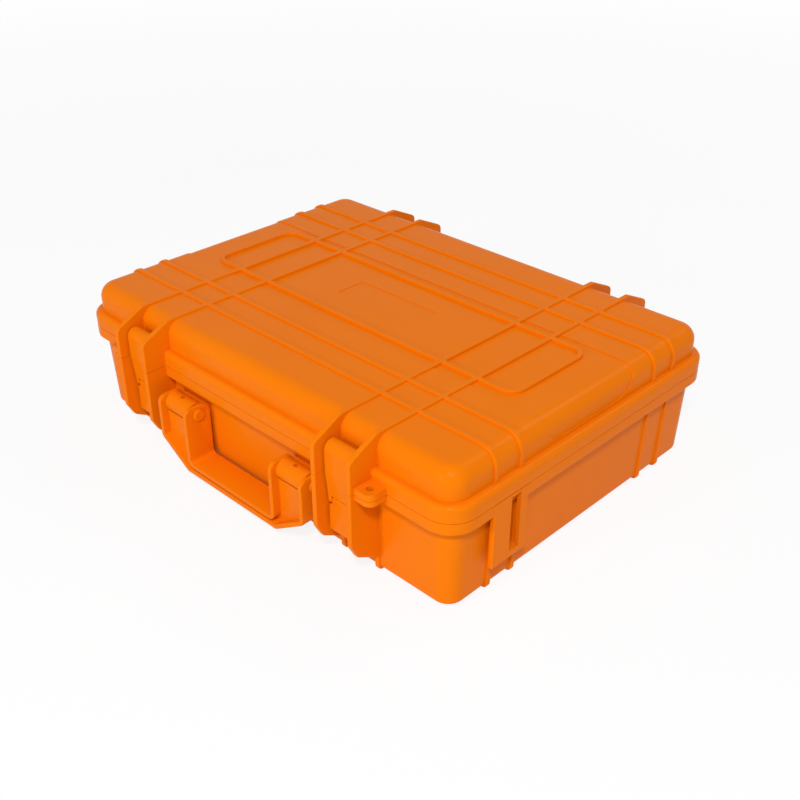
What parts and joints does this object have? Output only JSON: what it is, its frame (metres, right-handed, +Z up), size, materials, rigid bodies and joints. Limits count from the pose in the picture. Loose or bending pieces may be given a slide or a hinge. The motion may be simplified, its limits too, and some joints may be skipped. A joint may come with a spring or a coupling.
{
  "type": "hard equipment case",
  "caption": "Orange moulded equipment case with ribbed hinged lid, two-piece front latches, folding carry handle, padlock tabs, strap slots, seal and foam lining.",
  "frame": {"origin": "centre of the footprint at floor level", "axes": "+X along the case to the right as seen from the latches, +Y to the rear (hinge side), +Z up"},
  "size_m": [0.495, 0.4008, 0.137],
  "materials": {
    "case_orange": "satin",
    "latch_orange": "satin",
    "handle_orange": "satin",
    "pin_steel": "satin",
    "seal_rubber": "matte",
    "foam_dark": "matte",
    "vent_black": "matte"
  },
  "bodies": {
    "base": {"base_shell": "case_orange", "base_foam_pad": "foam_dark", "base_foam_tray": "foam_dark", "base_padlock_tab_left": "case_orange", "base_padlock_tab_right": "case_orange", "hinge_pin_left": "pin_steel", "hinge_pin_right": "pin_steel", "vent_plug": "vent_black", "vent_seal": "seal_rubber", "vent_nut": "vent_black"},
    "lid": {"lid_shell": "case_orange", "lid_padlock_tab_left": "case_orange", "lid_padlock_tab_right": "case_orange", "lid_seal": "seal_rubber", "lid_foam": "foam_dark", "latch_pivot_pin_left": "pin_steel", "latch_pivot_pin_right": "pin_steel"},
    "latch_left": {"latch_body_left": "latch_orange", "latch_lever_pin_left": "pin_steel"},
    "latch_right": {"latch_body_right": "latch_orange", "latch_lever_pin_right": "pin_steel"},
    "lever_left": {"latch_lever_left": "latch_orange"},
    "lever_right": {"latch_lever_right": "latch_orange"},
    "handle": {"carry_handle": "handle_orange", "handle_pin_left": "handle_orange", "handle_pin_right": "handle_orange"}
  },
  "joints": [
    {"name": "lid_hinge", "type": "hinge", "parent": "base", "child": "lid", "pos_m": [0, 0.1954, 0.0925], "axis": [-1, 0, 0], "range_deg": [0, 105]},
    {"name": "handle_swing", "type": "hinge", "parent": "base", "child": "handle", "pos_m": [0, -0.1855, 0.066], "axis": [-1, 0, 0], "range_deg": [0, 95]},
    {"name": "latch_swing_right", "type": "hinge", "parent": "lid", "child": "latch_right", "pos_m": [0.1364, -0.183, 0.113], "axis": [-1, 0, 0], "range_deg": [0, 75]},
    {"name": "lever_release_right", "type": "hinge", "parent": "latch_right", "child": "lever_right", "pos_m": [0.1364, -0.1836, 0.0645], "axis": [-1, 0, 0], "range_deg": [0, 75]},
    {"name": "latch_swing_left", "type": "hinge", "parent": "lid", "child": "latch_left", "pos_m": [-0.1364, -0.183, 0.113], "axis": [-1, 0, 0], "range_deg": [0, 75]},
    {"name": "lever_release_left", "type": "hinge", "parent": "latch_left", "child": "lever_left", "pos_m": [-0.1364, -0.1836, 0.0645], "axis": [-1, 0, 0], "range_deg": [0, 75]}
  ],
  "couplings": [
    {"joint": "lever_release_right", "follows": "latch_swing_right", "ratio": 1},
    {"joint": "lever_release_left", "follows": "latch_swing_left", "ratio": 1}
  ]
}
